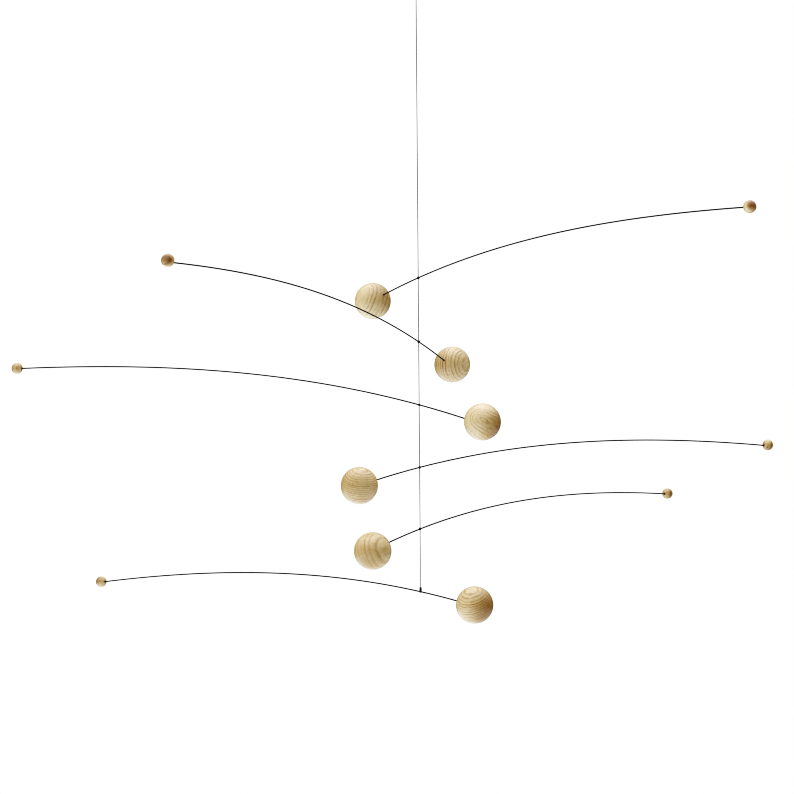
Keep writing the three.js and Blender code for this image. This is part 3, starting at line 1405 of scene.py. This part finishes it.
@dataclass
class Hitch:
    """Thread wound round a wire and crossed back over its own turns."""

    node: str
    body: str
    tie: Vector
    along: Vector
    turns: int = 2
    steps_per_turn: int = 40

    # The turns bed into the lacquer and flatten a little, and the crossing rises over them
    bedded_radius: float = 0.2
    crossing_rise: float = 0.32
    crossing_fullness: float = 0.7

    def path(self) -> list[Vector]:
        """Winds the turns side by side along the wire, then crosses back over them.

        Returns:
            The thread's middle line in millimetres.
        """
        side = self.along.cross(UP).normalized()
        top = side.cross(self.along)
        reach = WIRE_RADIUS + self.bedded_radius
        half = self.turns * THREAD_RADIUS
        points = []
        for i in range((self.turns + 1) * self.steps_per_turn + 1):
            turn = i / self.steps_per_turn
            if turn <= self.turns:
                out = reach
                shift = -half + 2 * THREAD_RADIUS * turn
            else:
                share = turn - self.turns
                hump = max(0.0, math.sin(math.pi * share))
                out = reach + self.crossing_rise * hump**self.crossing_fullness
                shift = half - 2 * half * share
            angle = 2 * math.pi * turn
            place = side * math.cos(angle) + top * math.sin(angle)
            points.append(self.tie + place * out + self.along * shift)
        return points

    def build(self, workshop: Workshop) -> bpy.types.Object:
        """Makes the hitch, which stands for the knot on its wire."""
        return Strand(f"{self.node}_hitch", self.path(), self.body, self.node).build(workshop)


@dataclass
class Sleeve:
    """The short tube on the lowest wire that holds the thread's end."""

    tie: Vector
    body: str
    radius: float = 0.9
    above_wire: float = 3.5
    below_wire: float = 0.8
    bevel: float = 0.18
    bore: float = 0.38
    bore_chamfer: float = 0.1
    sectors: int = 32

    # The share of the bevel at which its rounded middle stands
    bevel_middle: float = 0.3

    def build(self, workshop: Workshop) -> bpy.types.Object:
        """Turns the tube with rounded rims and a bore that the thread's end sits in.

        Args:
            workshop: the shared finishes.

        Returns:
            The sleeve.
        """
        edge = self.radius - self.bevel
        cut = self.bevel_middle * self.bevel
        floor = SLEEVE_ABOVE_WIRE - SLEEVE_BORE_DEPTH
        profile = [
            (0.0, -self.below_wire),
            (edge, -self.below_wire),
            (self.radius - cut, -self.below_wire + cut),
            (self.radius, -self.below_wire + self.bevel),
            (self.radius, self.above_wire - self.bevel),
            (self.radius - cut, self.above_wire - cut),
            (edge, self.above_wire),
            (self.bore, self.above_wire - self.bore_chamfer),
            (self.bore, floor),
            (0.0, floor),
        ]
        bm = bmesh.new()
        lathe(bm, profile, self.sectors)
        bmesh.ops.translate(bm, vec=self.tie, verts=bm.verts)
        return finish_piece(bm, "sleeve_tube", workshop.tubing, self.body, ("thread_end_sleeve",))


@dataclass
class Arm:
    """One wire with its two balls and what ties it to the thread."""

    number: int
    big_grain: Grain
    small_grain: Grain
    glued: bool
    lowest: bool = False

    def node(self, piece: str) -> str:
        """Names one of the arm's nodes."""
        return f"arm_{self.number}_{piece}"

    def build(self, frame: dict[str, Any], workshop: Workshop) -> None:
        """Makes the arm's pieces.

        Args:
            frame: the loaded frame.
            workshop: the shared finishes.
        """
        body = f"arm_{self.number}"
        joint = next(joint for joint in frame["joints"] if joint["child"] == body)
        tie = Vector(joint["pos_m"]) / MM
        seed = self.number * SEED_STEP
        big = Ball(self.node("big_ball"), body, self.big_grain, seed)
        small = SmallBall(self.node("small_ball"), body, self.small_grain, seed + SMALL_BALL_SEED)
        toward = small.centre() - big.centre()
        toward.z = 0.0
        wire = Wire(self.node("wire"), body)
        path = smooth_path(wire.middle_line(frame, toward.normalized()), wire.parts)
        wire.build(path, workshop)
        big.build(path)
        back = path[::-1]
        small.build(back)
        if self.glued:
            GlueBead(self.node("small_ball_glue"), body, *small.entry(back)).build(workshop)
        if self.lowest:
            Sleeve(tie, body).build(workshop)
            return
        nearest = min(range(1, len(path) - 1), key=lambda i: (path[i] - tie).length)
        along = (path[nearest + 1] - path[nearest - 1]).normalized()
        Hitch(self.node("knot"), body, tie, along).build(workshop)


@dataclass
class HangingThread:
    """The one thread that everything hangs on, with the knotted loop at its top."""

    sleeve_top: float
    body: str = "thread"
    steps_per_lay: int = 8
    doublings: int = 5
    cord_points: int = 21
    loop_steps: int = 288
    barrel_turns: int = 4
    barrel_steps: int = 36
    barrel_reach: float = 0.72

    # How far the tucked ends of the barrel knot lie from its middle, as a share of its reach
    tucked_in: float = 0.35

    # How much of its own width a drop's sides reach
    drop_side_reach: float = 0.77

    def bottom(self) -> float:
        """Gives the height of the run's end, just clear of the bottom of the sleeve's bore."""
        return self.sleeve_top - SLEEVE_BORE_DEPTH + THREAD_END_GAP

    def knot_middle(self) -> float:
        """Gives the height of the loop's knot, where the run ends."""
        return -LOOP_HEIGHT - THREAD_END_GAP - LOOP_KNOT_LENGTH / 2

    def build_run(self, workshop: Workshop) -> bpy.types.Object:
        """Screws a block of the straight run, and doubles it up from the sleeve into the loop's knot.

        Args:
            workshop: the shared finishes.

        Returns:
            The run.
        """
        bottom = self.bottom()
        block = (self.knot_middle() - bottom) / 2**self.doublings
        lays = round(block / LAY)
        steps = lays * self.steps_per_lay
        bm = bmesh.new()
        ring = section_ring(bm, Vector((0, 0, bottom)), UP, THREAD_RADIUS, THREAD_SIDES, PLIES)
        verts = list({vert for edge in ring for vert in edge.verts})
        bmesh.ops.spin(
            bm,
            geom=verts + ring,
            cent=(0, 0, bottom),
            axis=UP,
            dvec=(0, 0, block / steps),
            angle=lays * 2 * math.pi,
            steps=steps,
        )
        for doubling in range(self.doublings):
            everything = bm.verts[:] + bm.edges[:] + bm.faces[:]
            copied = bmesh.ops.duplicate(bm, geom=everything)["geom"]
            lifted = [item for item in copied if isinstance(item, BMVert)]
            bmesh.ops.translate(bm, vec=(0, 0, block * 2**doubling), verts=lifted)
        bmesh.ops.remove_doubles(bm, verts=bm.verts, dist=JOIN_DISTANCE)
        close_ends(bm)
        nodes = [f"thread_{i + 1}" for i in range(THREAD_STRETCHES)]
        return finish_piece(bm, "thread_run", workshop.thread, self.body, nodes, THREAD_CREASE)

    def loop_path(self) -> list[Vector]:
        """Follows the loop: up one leg, round the crown and down the other, as a drop.

        Returns:
            The loop's middle line in millimetres.
        """
        width = (LOOP_WIDTH - 2 * THREAD_RADIUS) / (2 * self.drop_side_reach)
        crown = THREAD_RADIUS
        foot = self.knot_middle()
        points = []
        for i in range(self.loop_steps + 1):
            angle = 2 * math.pi * i / self.loop_steps
            rise = (1 - math.cos(angle)) / 2
            spread = width * math.sin(angle) * math.sin(angle / 2)
            side = 1 if 2 * i < self.loop_steps else -1
            legs = side * THREAD_RADIUS * (1 - rise)
            points.append(Vector((spread + legs, 0.0, foot + (crown - foot) * rise)))
        return points

    def barrel_path(self) -> list[Vector]:
        """Winds the knot round both legs, its ends tucked under the turns.

        Returns:
            The knot's middle line in millimetres.
        """
        points = []
        steps = self.barrel_turns * self.barrel_steps
        tail = self.barrel_steps // 2
        for i in range(-tail, steps + tail + 1):
            turn = i / self.barrel_steps
            out = min(1.0, (i + tail) / tail, (steps + tail - i) / tail)
            reach = self.barrel_reach * (self.tucked_in + (1 - self.tucked_in) * out)
            angle = 2 * math.pi * turn
            height = self.knot_middle() + (turn - self.barrel_turns / 2) * 2 * THREAD_RADIUS
            points.append(Vector((reach * math.cos(angle), reach * math.sin(angle), height)))
        return points

    def build(self, workshop: Workshop) -> None:
        """Args:
            workshop: the shared finishes.
        """
        run = self.build_run(workshop)
        loop = Strand("loop_strand", self.loop_path(), self.body, "hanging_loop").build(workshop)
        knot = Strand("loop_barrel_knot", self.barrel_path(), self.body, "loop_knot").build(workshop)


@dataclass
class Studio:
    """A white light tent: bright above and below, less so at the sides, and dim in front and behind.

    Places and lengths are metres here, the lens and sensor millimetres, and angles degrees. Directions
    are right, away and up.
    """

    # The camera stands where the photograph was taken from
    camera_place: Triple = (-0.0181, -2.28254, -0.44524)
    camera_pitch: float = 92.115
    camera_roll: float = -0.4175
    focal_length: float = 126.47
    sensor: float = 36.0
    nearest_seen: float = 0.05
    sharpness: float = 1.1

    # How bright the tent is in a direction: a constant, then a share for each of right, away and up,
    # and for their products
    level: float = 0.07
    right: float = -0.265
    away: float = -0.017
    up: float = 0.20
    up_squared: float = 1.88
    right_squared: float = 0.44
    right_times_away: float = 0.26
    right_times_up: float = 0.275
    darkest: float = 0.05

    # Its light is warm where it is dim, and cool from this level on
    dim_colour: tuple[float, float, float, float] = (1.0, 0.955, 0.55, 1.0)
    bright_colour: tuple[float, float, float, float] = (1.0, 1.1, 1.34, 1.0)
    bright_level: float = 1.6
    backdrop_strength: float = 1.0

    # The floor lies well below the mobile, and cool light from beneath comes through its left side
    floor_shade: str = "EDEDEB"
    floor_roughness: float = 0.9
    floor_height: float = -1.2
    floor_radius: float = 4.0
    floor_sectors: int = 96
    fade_starts_at: float = 0.15
    glow_colour: tuple[float, float, float, float] = (0.42, 0.64, 1.0, 1.0)
    glow_strength: float = 1.1
    glow_full_at: float = -1.0
    glow_ends_at: float = 0.35

    # The picture's S-curve: how much darker it is below its middle and lighter above
    contrast: float = 0.33
    contrast_middle: float = 0.75

    def tent_level(self, tree: bpy.types.NodeTree) -> bpy.types.NodeSocket:
        """Works out how bright the tent is in each direction.

        Args:
            tree: the world's nodes.

        Returns:
            The brightness.
        """
        way = add_node(tree, "ShaderNodeTexCoord").outputs["Generated"]
        axes = add_node(tree, "ShaderNodeSeparateXYZ", inputs={"Vector": way}).outputs
        right, away, up = axes["X"], axes["Y"], axes["Z"]
        terms = [(away, self.away), (up, self.up), (right, self.right)]
        products = (
            (up, up, self.up_squared),
            (right, right, self.right_squared),
            (right, away, self.right_times_away),
            (right, up, self.right_times_up),
        )
        for first, second, share in products:
            product = add_node(tree, "ShaderNodeMath", {"operation": "MULTIPLY"}, {0: first, 1: second})
            terms.append((product.outputs[0], share))
        total: Any = self.level
        for value, share in terms:
            total = add_node(
                tree, "ShaderNodeMath", {"operation": "MULTIPLY_ADD"}, {0: value, 1: share, 2: total}
            ).outputs[0]
        return add_node(
            tree, "ShaderNodeMath", {"operation": "MAXIMUM"}, {0: total, 1: self.darkest}
        ).outputs[0]

    def add_tent(self) -> None:
        """Lights the scene from all round, and shows the camera plain white."""
        world = bpy.data.worlds.new("light_tent")
        bpy.context.scene.world = world
        world.use_nodes = True
        tree = world.node_tree
        tree.nodes.clear()
        level = self.tent_level(tree)
        share = add_node(tree, "ShaderNodeMapRange", inputs={"Value": level, "From Max": self.bright_level})
        colour = add_node(
            tree,
            "ShaderNodeMix",
            {"data_type": "RGBA"},
            {"Factor": share.outputs["Result"], COLOUR_A: self.dim_colour, COLOUR_B: self.bright_colour},
        )
        tent = add_node(
            tree,
            "ShaderNodeBackground",
            inputs={"Color": colour.outputs[MIXED_COLOUR], "Strength": level},
        )
        backdrop = add_node(
            tree,
            "ShaderNodeBackground",
            inputs={"Color": (1.0, 1.0, 1.0, 1.0), "Strength": self.backdrop_strength},
        )
        rays = add_node(tree, "ShaderNodeLightPath")
        seen = add_node(
            tree,
            "ShaderNodeMixShader",
            inputs={
                "Fac": rays.outputs["Is Camera Ray"],
                1: tent.outputs["Background"],
                2: backdrop.outputs["Background"],
            },
        )
        add_node(tree, "ShaderNodeOutputWorld", inputs={"Surface": seen.outputs[0]})

    def floor_finish(self) -> bpy.types.Material:
        """Makes the floor's finish: matt white acrylic, lit from beneath on its left.

        Returns:
            The finish, which fades out before it meets the backdrop.
        """
        material, tree, shader = new_material("pale_studio_floor")
        shader.inputs["Base Color"].default_value = linear(self.floor_shade)
        shader.inputs["Roughness"].default_value = self.floor_roughness
        shader.inputs["Emission Color"].default_value = self.glow_colour
        place = add_node(tree, "ShaderNodeTexCoord").outputs["Object"]
        across = add_node(tree, "ShaderNodeSeparateXYZ", inputs={"Vector": place})
        glow = add_node(
            tree,
            "ShaderNodeMapRange",
            inputs={
                "Value": across.outputs["X"],
                "From Min": self.glow_full_at,
                "From Max": self.glow_ends_at,
                "To Min": self.glow_strength,
                "To Max": 0.0,
            },
        )
        tree.links.new(glow.outputs["Result"], shader.inputs["Emission Strength"])
        flat = add_node(
            tree, "ShaderNodeVectorMath", {"operation": "MULTIPLY"}, {0: place, 1: (1.0, 1.0, 0.0)}
        )
        reach = add_node(tree, "ShaderNodeVectorMath", {"operation": "LENGTH"}, {0: flat.outputs[0]})
        fade = add_node(
            tree,
            "ShaderNodeMapRange",
            {"interpolation_type": "SMOOTHSTEP"},
            {
                "Value": reach.outputs["Value"],
                "From Min": self.fade_starts_at * self.floor_radius,
                "From Max": self.floor_radius,
                "To Min": 1.0,
                "To Max": 0.0,
            },
        )
        tree.links.new(fade.outputs["Result"], shader.inputs["Alpha"])
        return material

    def add_floor(self) -> None:
        """Lays the floor."""
        bm = bmesh.new()
        bmesh.ops.create_circle(bm, cap_ends=True, radius=self.floor_radius, segments=self.floor_sectors)
        bmesh.ops.translate(bm, vec=(0, 0, self.floor_height), verts=bm.verts)
        mesh = bpy.data.meshes.new("studio_floor")
        bm.to_mesh(mesh)
        bm.free()
        mesh.materials.append(self.floor_finish())
        floor = bpy.data.objects.new("studio_floor", mesh)
        bpy.context.scene.collection.objects.link(floor)

    def add_camera(self) -> None:
        """Stands the camera up and points it."""
        camera = bpy.data.cameras.new("camera")
        camera.lens = self.focal_length
        camera.sensor_width = self.sensor
        camera.clip_start = self.nearest_seen
        holder = bpy.data.objects.new("camera", camera)
        pitch = Matrix.Rotation(math.radians(self.camera_pitch), 4, "X")
        roll = Matrix.Rotation(math.radians(self.camera_roll), 4, "Z")
        holder.matrix_world = Matrix.Translation(self.camera_place) @ pitch @ roll
        bpy.context.scene.collection.objects.link(holder)
        bpy.context.scene.camera = holder

    def set_contrast(self) -> None:
        """Gives the picture a print's contrast: a gentle S-curve that keeps black, middle and white."""
        settings = bpy.context.scene.view_settings
        settings.view_transform = "Standard"
        settings.use_curve_mapping = True
        points = settings.curve_mapping.curves[SHARED_CURVE].points
        for i in range(1, CURVE_STEPS):
            shown = i / CURVE_STEPS
            wanted = shown + 4 * self.contrast * shown * (1 - shown) * (shown - self.contrast_middle)
            points.new(to_linear(shown), to_linear(wanted))
        settings.curve_mapping.update()

    def build(self) -> None:
        """Sets up the camera, the light, the floor and the picture's sharpness and contrast."""
        self.add_camera()
        self.add_tent()
        self.add_floor()
        bpy.context.scene.cycles.filter_width = self.sharpness
        self.set_contrast()


def main() -> None:
    """Builds the studio and every piece of the mobile."""
    logging.basicConfig(level=logging.INFO, format="%(message)s")
    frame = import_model()
    Studio().build()
    workshop = Workshop()

    arms = (
        Arm(1, Grain.LEANING_BOWS, Grain.SHADED_SIDE, glued=False),
        Arm(2, Grain.CLEAR_ARCS, Grain.SHADED_HEART, glued=False),
        Arm(3, Grain.FANNED_ARCS, Grain.SWIRL, glued=True),
        Arm(4, Grain.FINE_LEVEL_LINES, Grain.SHADED_RIM, glued=True),
        Arm(5, Grain.WIDE_ARCS, Grain.SHADED_HALF, glued=True),
        Arm(6, Grain.CLOSE_ARCS, Grain.SOFT_SWIRL, glued=True, lowest=True),
    )
    for arm in arms:
        arm.build(frame, workshop)
    lowest_tie = frame["joints"][-1]["pos_m"][2] / MM
    HangingThread(lowest_tie + SLEEVE_ABOVE_WIRE).build(workshop)


if __name__ == "__main__":
    main()
